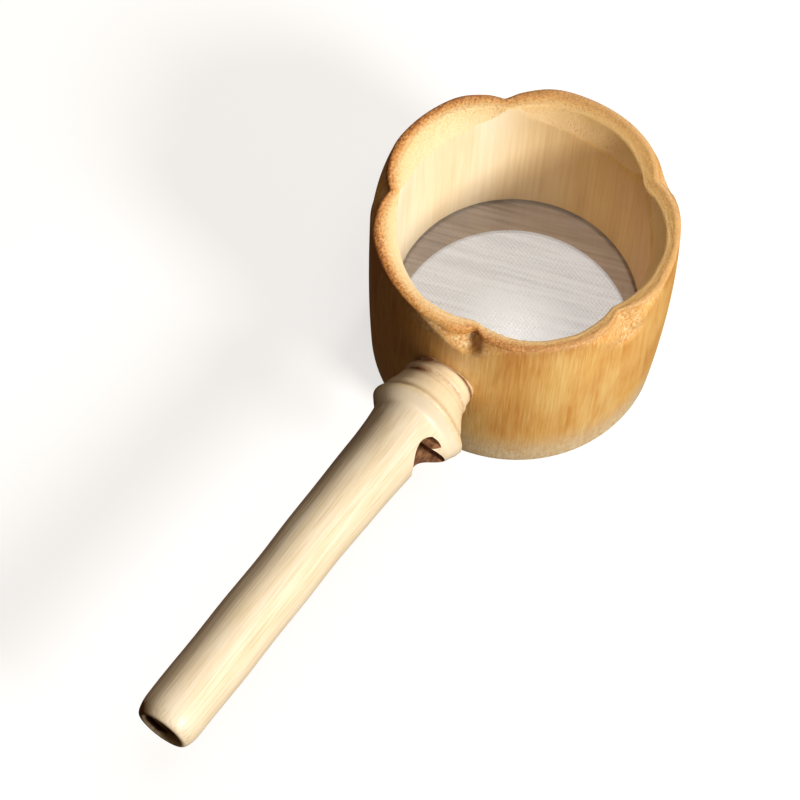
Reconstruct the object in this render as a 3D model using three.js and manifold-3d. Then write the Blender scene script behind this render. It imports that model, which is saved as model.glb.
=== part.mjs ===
// Tea strainer: a bamboo cup with a petal rim, a woven mesh held in its bore by a
// bamboo ring, and a branch handle glued into a socket in the cup's side.
// Millimetres, +Z up, +X along the handle.
import * as THREE from 'three';
import { mergeVertices } from 'three/addons/utils/BufferGeometryUtils.js';
import Module from 'manifold-3d';

const wasm = await Module();
wasm.setup();

// ---- cup: a barrel-shaped length of culm -------------------------------------
const cupHeight = 48;
const boreRadius = 24.8;
const footWall = 3.6; // wall at the foot
const beltBulge = 1.6; // how far the widest section stands out past the foot
const beltHeight = 32; // height of the widest section
const rimWall = 4.5; // wall at the rim
const footRound = 0.8; // rounding of the outer foot edge
const rimRound = 0.5; // rounding of the outer rim edge
const rimDrop = 1.5; // how far the rim face falls from its outside to the bore

// ---- petal rim: the notches are carved by eye, so they are not evenly spaced --
const notchAngles = [11, 74, 142, 221, 292]; // degrees round the cup from the handle
const notchWall = 1.7; // wall left at the rim in a notch
const notchLean = 0.66; // how far a notch's flanks spread outwards per millimetre down
const carvedHeight = 20; // height of rim that the notches may reach down
const bevelWidth = 2.5; // how far the inner bevel cuts into the rim
const bevelDepth = 12; // height over which the inner bevel runs out into the bore

// ---- strainer mesh and the ring that holds it ---------------------------------
const seatHeight = 12.8; // underside of the shoulder above the foot
const shoulderWidth = 1.4; // step from the bore to the recess below it
const meshThickness = 0.5;
const ringWall = 1.7;
const ringRecess = 0.6; // how far the ring stays above the foot
const fitGap = 0.3; // clearance between neighbouring pieces

// ---- handle: a hollow branch with its node beside the cup -----------------------
const handleReach = 90.5; // from the cup's widest section, measured along the handle
const handleHeight = 28.5; // height of the handle's axis where it enters the cup
const handleOffset = 1.35; // sideways offset of the handle's axis
const handleRise = 4; // degrees above level
const collarRadius = 6.8; // at the cup's wall
const collarLength = 9.6; // from the cup's wall to the ridge of the node
const ridgeHeight = 1.8; // how far the node's ridge stands out past the collar
const ridgeFall = 3; // length over which the ridge drops to the neck
const neckSwell = 1.3; // how much thicker the branch is just past its node
const neckLength = 14; // length over which that swelling fades
const internodeRadius = 6;
const branchWall = 2.1; // round the hollow
const endLip = 0.8; // width left of the wall at the rounded far end
const endRound = 4; // length of the rounding
const endFullness = 0.7; // how much of the rounding's width is left halfway along it
const diaphragm = 2.4; // solid stretch past the ridge, before the hollow starts
const tenonStep = 1.4; // step from the collar down to the tenon

// ---- bud and hang hole, both on the handle's right side -------------------------
const budHeight = 2.9;
const budAngle = -26; // degrees above the side of the handle
const budLength = 2.9;
const budSpread = 34; // degrees
const hangHoleRadius = 4.4;
const hangHoleSetback = 6.4; // from the node's ridge to the middle of the hole
const hangHoleAngle = -6; // degrees above the side of the handle

// ---- fineness of the facets ------------------------------------------------------
const cupSides = 72;
const handleSides = 36;
const cutterSides = 36;
const cutMargin = 2; // how far a cutter runs past what it cuts

// ---- sizes that follow -------------------------------------------------------------
const baseRadius = boreRadius + footWall;
const beltRadius = baseRadius + beltBulge;
const rimRadius = boreRadius + rimWall;
const notchRadius = boreRadius + notchWall;
const bevelRadius = boreRadius + bevelWidth;
const recessRadius = boreRadius + shoulderWidth;
const insertRadius = recessRadius - fitGap;
const nodeDistance = beltRadius + collarLength;
const nodeRadius = collarRadius + ridgeHeight;
const handleLength = beltRadius + handleReach;
const tenonRadius = collarRadius - tenonStep;
const pithRadius = internodeRadius - branchWall;
const endRadius = pithRadius + endLip;

const bamboo = new THREE.MeshStandardMaterial({ color: '#d3a055', roughness: 0.55, metalness: 0 });
const branch = new THREE.MeshStandardMaterial({ color: '#ecd6a6', roughness: 0.5, metalness: 0 });
const lining = new THREE.MeshStandardMaterial({ color: '#c69a5e', roughness: 0.65, metalness: 0 });
const steel = new THREE.MeshStandardMaterial({ color: '#d6d4d2', roughness: 0.4, metalness: 0.9 });

const radians = THREE.MathUtils.degToRad;

// ---- solids ------------------------------------------------------------------------
function solidOf(geometry) {
  const bare = geometry.clone();
  bare.deleteAttribute('normal');
  bare.deleteAttribute('uv');
  const merged = mergeVertices(bare, 1e-4);
  const mesh = new wasm.Mesh({
    numProp: 3,
    vertProperties: new Float32Array(merged.attributes.position.array),
    triVerts: new Uint32Array(merged.index.array),
  });
  return new wasm.Manifold(mesh);
}

function geometryOf(solid) {
  const { vertProperties, triVerts } = solid.getMesh();
  const geometry = new THREE.BufferGeometry();
  geometry.setAttribute('position', new THREE.BufferAttribute(vertProperties, 3));
  geometry.setIndex(new THREE.BufferAttribute(triVerts, 1));
  geometry.computeVertexNormals();
  return geometry;
}

function pieceOf(name, geometry, material) {
  const mesh = new THREE.Mesh(geometry, material);
  mesh.name = name;
  return mesh;
}

// A closed outline of [radius, height] pairs turned round the Z axis.
function turned(outline, sides) {
  const points = [...outline, outline[0]].map(([radius, height]) => new THREE.Vector2(radius, height));
  return new THREE.LatheGeometry(points, sides).rotateX(Math.PI / 2);
}

// An upright post between two heights.
function post(radius, bottom, top, sides = cutterSides) {
  const geometry = new THREE.CylinderGeometry(radius, radius, top - bottom, sides);
  return geometry.rotateX(Math.PI / 2).translate(0, 0, (bottom + top) / 2);
}

// ---- cup -----------------------------------------------------------------------------
function wallRadius(height) {
  const span = height < beltHeight ? beltHeight : cupHeight - beltHeight;
  const endWidth = height < beltHeight ? baseRadius : rimRadius;
  return beltRadius - (beltRadius - endWidth) * ((height - beltHeight) / span) ** 2;
}

// The outer wall from the foot to the rim, stood off by a clearance.
function wallLine(standOff, bottom, top, steps) {
  return Array.from({ length: steps + 1 }, (_, i) => {
    const height = bottom + ((top - bottom) * i) / steps;
    return [wallRadius(height) + standOff, height];
  });
}

function cupBlank() {
  return turned([
    [recessRadius, 0],
    [baseRadius - footRound, 0],
    ...wallLine(0, footRound, beltHeight, 6),
    ...wallLine(0, beltHeight, cupHeight - rimRound, 4).slice(1),
    [rimRadius - rimRound, cupHeight],
    [boreRadius, cupHeight - rimDrop],
    [boreRadius, seatHeight],
    [recessRadius, seatHeight],
  ], cupSides);
}

// Petals lie between neighbouring notches.
const petals = notchAngles.map((angle, i) => {
  const next = i + 1 < notchAngles.length ? notchAngles[i + 1] : notchAngles[0] + 360;
  return { middle: radians((angle + next) / 2), half: radians((next - angle) / 2) };
});

// The post whose rim section passes through the crown of a petal and the two notches
// beside it. It leans, so it moves outwards by leanOut for each millimetre of height.
function petalPost({ middle, half }, crown, atNotch, leanOut, bottom) {
  const notchAlong = atNotch * Math.cos(half);
  const notchAcross = atNotch * Math.sin(half);
  const radius = ((notchAlong - crown) ** 2 + notchAcross ** 2) / (2 * (crown - notchAlong));
  const lean = new THREE.Matrix4().makeShear(0, 0, 0, 0, leanOut, 0);
  const geometry = post(radius, bottom - cupHeight, cutMargin, 2 * cutterSides);
  geometry.applyMatrix4(lean);
  geometry.translate(crown - radius, 0, cupHeight).rotateZ(middle);
  return solidOf(geometry);
}

// What is carved off between the petals on the outside.
function notchWaste() {
  const bottom = cupHeight - carvedHeight;
  const outer = solidOf(post(beltRadius + cutMargin, bottom, cupHeight + cutMargin / 2, cupSides));
  const lobes = petals.map((petal) =>
    petalPost(petal, rimRadius + rimRound, notchRadius, -notchLean, bottom - cutMargin));
  return lobes.reduce((rest, lobe) => rest.subtract(lobe), outer);
}

function carveRim(cup) {
  const leanOut = (bevelRadius - boreRadius) / bevelDepth;
  const bevels = petals.map((petal) =>
    petalPost(petal, bevelRadius, boreRadius, leanOut, cupHeight - bevelDepth - cutMargin));
  return bevels.reduce((rest, bevel) => rest.subtract(bevel), cup.subtract(notchWaste()));
}

// ---- handle, made along +X in its own frame --------------------------------------------
function placeHandle(item) {
  item.rotation.y = -radians(handleRise);
  item.position.set(0, handleOffset, handleHeight - beltRadius * Math.tan(radians(handleRise)));
  return item;
}

const handleMatrix = placeHandle(new THREE.Object3D());
handleMatrix.updateMatrix();
const toHandle = handleMatrix.matrix.clone().invert();

// A rod along +X.
function rod(radius, start, end, sides = handleSides) {
  const geometry = new THREE.CylinderGeometry(radius, radius, end - start, sides);
  return geometry.rotateZ(-Math.PI / 2).translate((start + end) / 2, 0, 0);
}

// The branch swells to the ridge of its node, drops off it and slims along the neck.
function branchRadius(distance) {
  const past = distance - nodeDistance;
  if (past < 0) return collarRadius + ridgeHeight * Math.max(0, 1 + past / collarLength) ** 2;
  const neck = internodeRadius + neckSwell * Math.exp(-past / neckLength);
  const step = nodeRadius - internodeRadius - neckSwell;
  return neck + step * Math.max(0, 1 - past / ridgeFall);
}

function branchLine(start, end, steps) {
  return Array.from({ length: steps }, (_, i) => {
    const distance = start + ((end - start) * i) / steps;
    return [branchRadius(distance), distance];
  });
}

// The branch's outside as [radius, distance] from inside the cup's wall to the far end.
function branchOutline() {
  const ridgeFoot = nodeDistance + ridgeFall;
  const roundStart = handleLength - endRound;
  const bodyRadius = branchRadius(roundStart);
  return [
    [0, boreRadius],
    [collarRadius, boreRadius],
    ...branchLine(beltRadius, nodeDistance, 6),
    ...branchLine(nodeDistance, ridgeFoot, 2),
    ...branchLine(ridgeFoot, roundStart, 10),
    [bodyRadius, roundStart],
    [endRadius + (bodyRadius - endRadius) * endFullness, handleLength - endRound / 2],
    [endRadius, handleLength],
    [0, handleLength],
  ];
}

// The bud is a swelling on one side of the node.
function swellBud(geometry) {
  const place = geometry.attributes.position;
  for (let i = 0; i < place.count; i += 1) {
    const [along, side, up] = [place.getX(i), place.getY(i), place.getZ(i)];
    const turn = Math.atan2(up, side) - radians(budAngle);
    const round = Math.atan2(Math.sin(turn), Math.cos(turn)) / radians(budSpread);
    const reach = (along - nodeDistance) / budLength;
    const radius = Math.hypot(side, up);
    const grown = radius < 1e-6 ? 1 : 1 + (budHeight * Math.exp(-(round ** 2) - reach ** 2)) / radius;
    place.setXYZ(i, along, side * grown, up * grown);
  }
  return geometry;
}

function hangHole() {
  const geometry = post(hangHoleRadius, 0, 2 * (nodeRadius + budHeight));
  geometry.rotateX(radians(hangHoleAngle) - Math.PI / 2);
  return solidOf(geometry.translate(nodeDistance + hangHoleSetback, 0, 0));
}

function handleSolid() {
  const points = branchOutline().map(([radius, distance]) => new THREE.Vector2(radius, distance));
  const blank = solidOf(swellBud(new THREE.LatheGeometry(points, handleSides).rotateZ(-Math.PI / 2)));
  const seat = turned([
    [0, -cutMargin],
    ...wallLine(fitGap, -cutMargin, cupHeight + cutMargin, 12),
    [0, cupHeight + cutMargin],
  ], cupSides).applyMatrix4(toHandle);
  const bore = post(boreRadius + fitGap, -cutMargin, cupHeight + cutMargin, cupSides).applyMatrix4(toHandle);
  return blank
    .subtract(solidOf(seat))
    .add(solidOf(rod(tenonRadius, boreRadius - cutMargin, beltRadius + cutMargin)).subtract(solidOf(bore)))
    .subtract(solidOf(rod(pithRadius, nodeDistance + diaphragm, handleLength + cutMargin)))
    .subtract(hangHole());
}

// ---- pieces ---------------------------------------------------------------------------------
function makeCup() {
  const socket = rod(tenonRadius + fitGap, 0, beltRadius + cutMargin).applyMatrix4(handleMatrix.matrix);
  return pieceOf('cup', geometryOf(carveRim(solidOf(cupBlank())).subtract(solidOf(socket))), bamboo);
}

function makeStrainerMesh() {
  const top = seatHeight - fitGap;
  const disc = post(insertRadius, top - meshThickness, top, cupSides);
  return pieceOf('strainer_mesh', disc, steel);
}

function makeRetainingRing() {
  const top = seatHeight - fitGap - meshThickness - fitGap;
  const outline = [
    [insertRadius - ringWall, ringRecess],
    [insertRadius, ringRecess],
    [insertRadius, top],
    [insertRadius - ringWall, top],
  ];
  return pieceOf('retaining_ring', turned(outline, cupSides), lining);
}

function makeHandle() {
  return placeHandle(pieceOf('handle', geometryOf(handleSolid()), branch));
}

const strainer = new THREE.Group();
strainer.add(makeCup(), makeStrainerMesh(), makeRetainingRing(), makeHandle());

// The origin is under the middle of the object's box, on the surface that it stands on.
const box = new THREE.Box3().setFromObject(strainer, true);
strainer.position.set(-(box.min.x + box.max.x) / 2, -(box.min.y + box.max.y) / 2, -box.min.z);

export default strainer;
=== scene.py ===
"""Looks of a bamboo tea strainer: a culm cup with a petal rim, a woven wire mesh, the ring that
holds the mesh, and a hollow branch handle.

Lengths in the dataclasses are millimetres unless a name says otherwise. Meshes are made in metres
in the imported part's frame.
"""

from __future__ import annotations

import logging
import math
from dataclasses import dataclass, field
from enum import Enum
from typing import Any, Callable, Sequence

import bpy
import numpy as np
from mathutils import Matrix, Vector

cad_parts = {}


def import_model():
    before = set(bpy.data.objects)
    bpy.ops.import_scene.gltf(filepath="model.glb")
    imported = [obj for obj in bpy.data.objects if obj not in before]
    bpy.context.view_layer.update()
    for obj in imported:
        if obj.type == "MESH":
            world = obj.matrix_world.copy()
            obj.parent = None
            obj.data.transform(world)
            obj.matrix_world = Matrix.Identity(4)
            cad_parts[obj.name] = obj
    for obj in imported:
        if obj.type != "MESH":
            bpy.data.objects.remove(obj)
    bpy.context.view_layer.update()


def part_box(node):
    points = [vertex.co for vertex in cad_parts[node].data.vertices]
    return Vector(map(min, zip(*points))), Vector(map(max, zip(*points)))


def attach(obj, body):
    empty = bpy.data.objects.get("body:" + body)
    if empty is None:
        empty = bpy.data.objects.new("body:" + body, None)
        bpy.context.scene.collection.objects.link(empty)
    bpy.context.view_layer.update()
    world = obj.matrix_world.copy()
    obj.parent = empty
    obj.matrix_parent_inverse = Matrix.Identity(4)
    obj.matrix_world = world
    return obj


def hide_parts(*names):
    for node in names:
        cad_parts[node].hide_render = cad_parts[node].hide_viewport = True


MM = 0.001
LOG = logging.getLogger("tea_strainer")


# ---- small numeric helpers -------------------------------------------------------------------


def bump(values: np.ndarray | float, centre: float, width: float) -> np.ndarray:
    """Gives a smooth hump of height 1 at centre that has faded about two widths away."""
    return np.exp(-(((np.asarray(values, float) - centre) / width) ** 2))


def ease(values: np.ndarray | float, low: float, high: float) -> np.ndarray:
    """Gives a smooth step from 0 at low to 1 at high."""
    t = np.clip((np.asarray(values, float) - low) / (high - low), 0.0, 1.0)
    return t * t * (3 - 2 * t)


def soft_min(a: np.ndarray, b: np.ndarray, blend: float) -> np.ndarray:
    """Gives the smaller of two lengths, rounded over the blend length where they cross."""
    h = np.clip(0.5 + 0.5 * (b - a) / blend, 0.0, 1.0)
    return b * (1 - h) + a * h - blend * h * (1 - h)


def soft_max(a: np.ndarray, b: np.ndarray, blend: float) -> np.ndarray:
    """Gives the larger of two lengths, rounded over the blend length where they cross."""
    return -soft_min(-a, -b, blend)


def turn_between(angles: np.ndarray, centre: float) -> np.ndarray:
    """Gives signed angles from centre, in degrees from -180 to 180."""
    return (np.asarray(angles, float) - centre + 180.0) % 360.0 - 180.0


def circle(axis_x: float, radius: float, turns: np.ndarray, height: float) -> np.ndarray:
    """Gives points round an upright axis at a radius and height, one for each turn in radians."""
    level_height = np.full(len(turns), height)
    return np.stack([axis_x + radius * np.cos(turns), radius * np.sin(turns), level_height], axis=-1)


def wander(angles: np.ndarray, seed: int, waves: Sequence[int]) -> np.ndarray:
    """Gives a random smooth curve round a circle, about -1 to 1.

    Args:
        angles: Angles in degrees.
        seed: Seed of the random phases and weights.
        waves: How many waves each of its terms has in one turn.

    Returns:
        One value for each angle, the same after a full turn.
    """
    rng = np.random.default_rng(seed)
    total = np.zeros_like(np.asarray(angles, float))
    for wave in waves:
        total += rng.uniform(0.5, 1.0) * np.sin(np.radians(wave * angles) + rng.uniform(0, 2 * np.pi))
    return total / max(1.0, math.sqrt(len(waves)))


# ---- mesh helpers ----------------------------------------------------------------------------


@dataclass
class Skin:
    """Rows of points round a body, from which one closed mesh is made.

    Attributes:
        rows: One array of shape (columns, 3) for each row, in millimetres.
        zones: The material index of the band that starts at each row.
        marks: Named per-point values, one array of length columns for each row.
        plain: Each mark's value in a row that doesn't give it.
    """

    plain: dict[str, Any] = field(default_factory=dict)
    rows: list[np.ndarray] = field(default_factory=list)
    zones: list[int] = field(default_factory=list)
    marks: dict[str, list[np.ndarray]] = field(default_factory=dict)

    def add(self, points: np.ndarray, zone: int, **marks: np.ndarray | float) -> None:
        """Adds a row of points with the material of the band after it and its marks."""
        self.rows.append(points)
        self.zones.append(zone)
        for name, value in {**self.plain, **marks}.items():
            values = np.broadcast_to(np.asarray(value, float), (len(points),))
            self.marks.setdefault(name, []).append(values)

    def to_object(self, name: str, ring: bool, flat_ends: bool = False) -> bpy.types.Object:
        """Makes the mesh object.

        Args:
            name: The object's name.
            ring: True joins the last row to the first. False closes both ends.
            flat_ends: True closes each end with one face, False with a fan round a point.

        Returns:
            The new object, in the scene.
        """
        columns = len(self.rows[0])
        count = len(self.rows)
        points = np.concatenate(self.rows) * MM
        index = np.arange(count * columns).reshape(count, columns)
        after = np.roll(index, -1, axis=1)
        bands = count if ring else count - 1
        below = index[:bands]
        above = np.roll(index, -1, axis=0)[:bands]
        quads = np.stack(
            [below, after[:bands], np.roll(after, -1, axis=0)[:bands], above], axis=-1
        ).reshape(-1, 4)
        faces = quads.tolist()
        materials = np.repeat(self.zones[:bands], columns).tolist()
        marks = {key: np.concatenate(value) for key, value in self.marks.items()}
        if flat_ends:
            faces += [index[0][::-1].tolist(), index[-1].tolist()]
            materials += [self.zones[0], self.zones[-1]]
        elif not ring:
            ends = [(0, self.zones[0], True), (count - 1, self.zones[-1], False)]
            for row, zone, first in ends:
                centre = len(points)
                points = np.vstack([points, points[index[row]].mean(axis=0)])
                marks = {key: np.append(v, v[index[row]].mean()) for key, v in marks.items()}
                for a, b in zip(index[row], after[row]):
                    faces.append([int(b), int(a), centre] if first else [int(a), int(b), centre])
                    materials.append(zone)
        mesh = bpy.data.meshes.new(name)
        mesh.from_pydata(points.tolist(), [], faces)
        mesh.polygons.foreach_set("material_index", materials)
        mesh.polygons.foreach_set("use_smooth", [True] * len(faces))
        for key, value in marks.items():
            mesh.attributes.new(key, "FLOAT", "POINT").data.foreach_set("value", value)
        mesh.update()
        if signed_volume(mesh) < 0:
            mesh.flip_normals()
        return link_object(name, mesh)


def link_object(name: str, data: Any) -> bpy.types.Object:
    """Puts new object data in the scene under a name."""
    made = bpy.data.objects.new(name, data)
    bpy.context.scene.collection.objects.link(made)
    return made


def signed_volume(mesh: bpy.types.Mesh) -> float:
    """Gives a closed mesh's volume, negative where its faces point inwards."""
    mesh.calc_loop_triangles()
    corners = np.empty(len(mesh.loop_triangles) * 3, dtype=np.int64)
    mesh.loop_triangles.foreach_get("vertices", corners)
    points = np.empty(len(mesh.vertices) * 3)
    mesh.vertices.foreach_get("co", points)
    tri = points.reshape(-1, 3)[corners.reshape(-1, 3)]
    return float(np.einsum("ij,ij->", tri[:, 0], np.cross(tri[:, 1], tri[:, 2])) / 6)


def baked(source: bpy.types.Object, crease: float = 40.0) -> bpy.types.Object:
    """Replaces an object and its modifiers by the plain mesh that they give.

    Args:
        source: The object to evaluate. It is removed.
        crease: Edges that bend more than this many degrees are shaded sharp.

    Returns:
        The plain object, under the same name.
    """
    name = source.name
    materials = list(source.data.materials)
    graph = bpy.context.evaluated_depsgraph_get()
    mesh = bpy.data.meshes.new_from_object(source.evaluated_get(graph))
    bpy.data.objects.remove(source)
    mesh.name = name
    mesh.polygons.foreach_set("use_smooth", [True] * len(mesh.polygons))
    mesh.set_sharp_from_angle(angle=math.radians(crease))
    if not mesh.materials:
        for material in materials:
            mesh.materials.append(material)
    return link_object(name, mesh)


def cut_away(body: bpy.types.Object, cutter: bpy.types.Object) -> bpy.types.Object:
    """Cuts one closed object out of another, which gives the cut its finishes too."""
    for material in body.data.materials:
        cutter.data.materials.append(material)
    modifier = body.modifiers.new("cut", "BOOLEAN")
    modifier.operation = "DIFFERENCE"
    modifier.solver = "EXACT"
    modifier.object = cutter
    result = baked(body)
    bpy.data.objects.remove(cutter)
    return result


# ---- node helpers ----------------------------------------------------------------------------


def srgb(code: str) -> tuple[float, float, float, float]:
    """Turns an sRGB hex code such as "#d3a055" into a linear colour with alpha 1."""
    parts = [int(code[i : i + 2], 16) / 255 for i in (1, 3, 5)]
    linear = [c / 12.92 if c <= 0.04045 else ((c + 0.055) / 1.055) ** 2.4 for c in parts]
    return (linear[0], linear[1], linear[2], 1.0)


def add(
    tree: bpy.types.NodeTree,
    kind: str,
    settings: dict[str, Any] | None = None,
    inputs: dict[str | int, Any] | None = None,
) -> bpy.types.Node:
    """Adds a node with its settings, input values and links.

    Args:
        tree: The node tree that gets the node.
        kind: The node's type, such as "ShaderNodeTexNoise".
        settings: Values of the node's own properties.
        inputs: A value or an output socket for each input, by its name or number.

    Returns:
        The new node.
    """
    node = tree.nodes.new(kind)
    for key, value in (settings or {}).items():
        setattr(node, key, value)
    for key, value in (inputs or {}).items():
        socket = node.inputs[key]
        if isinstance(value, bpy.types.NodeSocket):
            tree.links.new(value, socket)
        else:
            socket.default_value = value
    return node


def math_of(tree: bpy.types.NodeTree, operation: str, *values: Any) -> bpy.types.NodeSocket:
    """Adds a Math node on up to three values or sockets and gives its output."""
    node = add(tree, "ShaderNodeMath", {"operation": operation}, dict(enumerate(values)))
    return node.outputs[0]


def weighted(
    tree: bpy.types.NodeTree, one: bpy.types.NodeSocket, other: bpy.types.NodeSocket, share: float
) -> bpy.types.NodeSocket:
    """Adds up two values, the first times a share and the second times the rest."""
    first = math_of(tree, "MULTIPLY", one, share)
    return math_of(tree, "ADD", first, math_of(tree, "MULTIPLY", other, 1 - share))


def ramp(
    tree: bpy.types.NodeTree, factor: bpy.types.NodeSocket, stops: Sequence[tuple[float, str]]
) -> bpy.types.NodeSocket:
    """Adds a colour ramp and gives its colour.

    Args:
        tree: The node tree.
        factor: The value that picks a place on the ramp.
        stops: Positions from 0 to 1 with their sRGB hex codes.

    Returns:
        The ramp's colour output.
    """
    node = add(tree, "ShaderNodeValToRGB", None, {"Fac": factor})
    elements = node.color_ramp.elements
    while len(elements) < len(stops):
        elements.new(1.0)
    for element, (position, code) in zip(elements, stops):
        element.position = position
        element.color = srgb(code)
    return node.outputs["Color"]


def level(
    tree: bpy.types.NodeTree, value: bpy.types.NodeSocket, low: float, high: float
) -> bpy.types.NodeSocket:
    """Turns a value into 0 at low and 1 at high, held at both ends."""
    node = add(
        tree,
        "ShaderNodeMapRange",
        {"clamp": True},
        {"Value": value, "From Min": low, "From Max": high},
    )
    return node.outputs["Result"]


def blend_colours(
    tree: bpy.types.NodeTree, amount: Any, below: Any, above: Any, mode: str = "MIX"
) -> bpy.types.NodeSocket:
    """Mixes two colours, given as sockets or hex codes, and gives the result."""
    node = add(tree, "ShaderNodeMix", {"data_type": "RGBA", "blend_type": mode})
    for socket, value in ((node.inputs[0], amount), (node.inputs[6], below), (node.inputs[7], above)):
        if isinstance(value, bpy.types.NodeSocket):
            tree.links.new(value, socket)
        else:
            socket.default_value = srgb(value) if isinstance(value, str) else value
    return node.outputs[2]


def mark(tree: bpy.types.NodeTree, name: str) -> bpy.types.NodeSocket:
    """Reads one of a mesh's own per-point values."""
    return add(tree, "ShaderNodeAttribute", {"attribute_name": name}).outputs["Fac"]


def laid_over(
    tree: bpy.types.NodeTree, colour: Any, name: str, pattern: Any, over: Any
) -> bpy.types.NodeSocket:
    """Lays a colour over another where a mark times a pattern says so, and gives the result."""
    amount = math_of(tree, "MULTIPLY", mark(tree, name), pattern)
    return blend_colours(tree, amount, colour, over)


# ---- finishes --------------------------------------------------------------------------------


@dataclass(frozen=True)
class Place:
    """Where a pattern starts: the cup's axis, the pattern's rise and its turn, in degrees."""

    axis_x: float
    rise: float = 0.0
    turn: float = 0.0

    def millimetres(self, tree: bpy.types.NodeTree, stretch: Sequence[float]) -> bpy.types.NodeSocket:
        """Gives object coordinates from the cup's axis, in millimetres times a stretch.

        Args:
            tree: The material's node tree.
            stretch: Factor along each axis, small along the fibres.

        Returns:
            A vector socket.
        """
        where = add(tree, "ShaderNodeTexCoord").outputs["Object"]
        centred = add(
            tree,
            "ShaderNodeMapping",
            {"vector_type": "TEXTURE"},
            {
                "Vector": where,
                "Location": (self.axis_x * MM, 0.0, 0.0),
                "Rotation": (0.0, -math.radians(self.rise), math.radians(self.turn)),
            },
        )
        scaled = add(
            tree,
            "ShaderNodeMapping",
            {"vector_type": "POINT"},
            {"Vector": centred.outputs["Vector"], "Scale": tuple(s / MM for s in stretch)},
        )
        return scaled.outputs["Vector"]

    def upright(self, tree: bpy.types.NodeTree, stretch: float) -> bpy.types.NodeSocket:
        """Gives the place with a factor along the culm's upright fibres."""
        return self.millimetres(tree, (1.0, 1.0, stretch))

    def lengthways(self, tree: bpy.types.NodeTree, stretch: float) -> bpy.types.NodeSocket:
        """Gives the place with a factor along the branch's fibres or along a wire."""
        return self.millimetres(tree, (stretch, 1.0, 1.0))


def noise(
    tree: bpy.types.NodeTree, vector: bpy.types.NodeSocket, per_mm: float, detail: float = 3.0
) -> bpy.types.NodeSocket:
    """Adds noise with a number of lumps per millimetre and gives its value."""
    node = add(
        tree,
        "ShaderNodeTexNoise",
        {"noise_dimensions": "3D"},
        {"Vector": vector, "Scale": per_mm, "Detail": detail, "Roughness": 0.55},
    )
    return node.outputs["Fac"]


def pores(
    tree: bpy.types.NodeTree, vector: bpy.types.NodeSocket, spacing: float, size: float
) -> bpy.types.NodeSocket:
    """Adds the cut ends of fibre bundles: 1 in each pore, 0 between them.

    Args:
        tree: The node tree.
        vector: Place in millimetres, stretched along the fibres.
        spacing: Distance between pores in millimetres.
        size: Pore radius as a share of the spacing.

    Returns:
        The pore mask.
    """
    cells = add(
        tree,
        "ShaderNodeTexVoronoi",
        {"feature": "F1"},
        {"Vector": vector, "Scale": 1 / spacing, "Randomness": 0.9},
    )
    return level(tree, cells.outputs["Distance"], size, size * 0.45)


class Finish:
    """A procedural material. Each finish fills in its own nodes."""

    name = "finish"

    def build(self) -> bpy.types.Material:
        """Makes the material with its shader and bump."""
        material = bpy.data.materials.new(self.name)
        material.use_nodes = True
        tree = material.node_tree
        tree.nodes.clear()
        shader = add(tree, "ShaderNodeBsdfPrincipled")
        add(tree, "ShaderNodeOutputMaterial", None, {"Surface": shader.outputs["BSDF"]})
        self.dress(tree, shader)
        return material

    def dress(self, tree: bpy.types.NodeTree, shader: bpy.types.Node) -> None:
        """Links the finish's own nodes to the shader."""
        raise NotImplementedError

    @staticmethod
    def relief(
        tree: bpy.types.NodeTree, shader: bpy.types.Node, height: bpy.types.NodeSocket, depth: float
    ) -> None:
        """Adds bump to the shader from a height of 0 to 1 times a depth in millimetres."""
        lifted = add(
            tree,
            "ShaderNodeBump",
            None,
            {"Height": height, "Distance": depth * MM, "Strength": 1.0},
        )
        tree.links.new(lifted.outputs["Normal"], shader.inputs["Normal"])


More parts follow.
